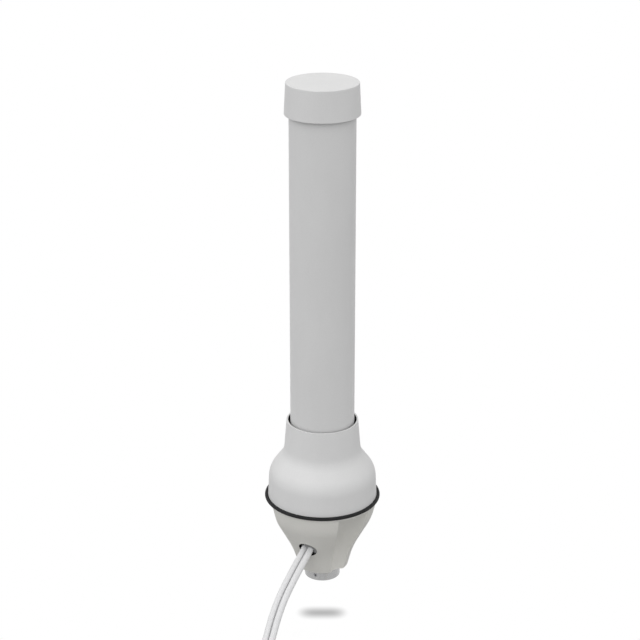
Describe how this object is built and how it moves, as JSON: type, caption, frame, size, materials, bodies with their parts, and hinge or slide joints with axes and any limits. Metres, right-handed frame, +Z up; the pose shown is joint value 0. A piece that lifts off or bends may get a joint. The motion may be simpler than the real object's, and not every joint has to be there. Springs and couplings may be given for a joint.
{
  "type": "omnidirectional antenna",
  "caption": "Outdoor omnidirectional antenna: capped tube radome in a bell housing on a fluted base with a threaded mast socket, and bonded coaxial cables that end in screw-on plugs.",
  "frame": {"origin": "centre of the mouth of the threaded socket, at the foot of the collar", "axes": "+Z up the mast tube; -Y towards the cable hole and the grub screw"},
  "size_m": [0.1288, 0.2368, 0.4442],
  "materials": {
    "cap_plastic": "smooth moulded",
    "radome_glassfibre": "satin glass-fibre tube",
    "bell_plastic": "smooth moulded",
    "seal_rubber": "smooth",
    "gasket_rubber": "matt",
    "base_plastic": "fine texture",
    "screw_steel": "plain",
    "grub_steel": "dark",
    "collar_metal": "satin light grey",
    "carrier_plastic": "moulded",
    "clamp_plastic": "moulded",
    "board_laminate": "lacquered laminate",
    "plate_copper": "bright",
    "spacer_foam": "foam",
    "cable_jacket": "soft satin",
    "feed_jacket": "smooth",
    "tie_fabric": "woven",
    "sleeve_rubber": "shrunk tubing",
    "plug_metal": "plated",
    "insulator_plastic": "smooth",
    "pin_metal": "plated"
  },
  "bodies": {
    "antenna": {"top_cap": "cap_plastic", "cap_seal_ring": "seal_rubber", "radome_tube": "radome_glassfibre", "bell_housing": "bell_plastic", "tube_seal_ring": "seal_rubber", "flange_gasket": "gasket_rubber", "base_housing": "base_plastic", "flange_screws": "screw_steel", "thread_collar": "collar_metal", "collar_screws": "screw_steel", "board_carrier": "carrier_plastic", "cable_clamp": "clamp_plastic", "clamp_screws": "screw_steel", "antenna_board": "board_laminate", "lower_dipoles": "plate_copper", "upper_dipoles": "plate_copper", "spacer_disc_1": "spacer_foam", "spacer_disc_2": "spacer_foam", "spacer_disc_3": "spacer_foam", "spacer_disc_4": "spacer_foam", "cable_lead_a": "cable_jacket", "cable_tail_a": "cable_jacket", "feed_lead_a": "feed_jacket", "cable_lead_b": "cable_jacket", "cable_tail_b": "cable_jacket", "feed_lead_b": "feed_jacket", "cable_coil": "cable_jacket", "coil_tie": "tie_fabric", "plug_sleeve_a": "sleeve_rubber", "plug_body_a": "plug_metal", "plug_insulator_a": "insulator_plastic", "plug_pin_a": "pin_metal", "plug_sleeve_b": "sleeve_rubber", "plug_body_b": "plug_metal", "plug_insulator_b": "insulator_plastic", "plug_pin_b": "pin_metal"},
    "grub_screw": {"grub_screw": "grub_steel"},
    "plug_nut_a": {"plug_nut_a": "plug_metal"},
    "plug_nut_b": {"plug_nut_b": "plug_metal"}
  },
  "joints": [
    {"name": "grub_screw_travel", "type": "slide", "parent": "antenna", "child": "grub_screw", "axis": [0, 1, 0], "range_m": [0, 0.001]},
    {"name": "plug_nut_a_turn", "type": "hinge", "parent": "antenna", "child": "plug_nut_a", "pos_m": [0.0665, -0.06255, -0.0331], "axis": [0, 1, 0], "continuous": true},
    {"name": "plug_nut_b_turn", "type": "hinge", "parent": "antenna", "child": "plug_nut_b", "pos_m": [0.078, -0.06255, -0.0331], "axis": [0, 1, 0], "continuous": true}
  ]
}
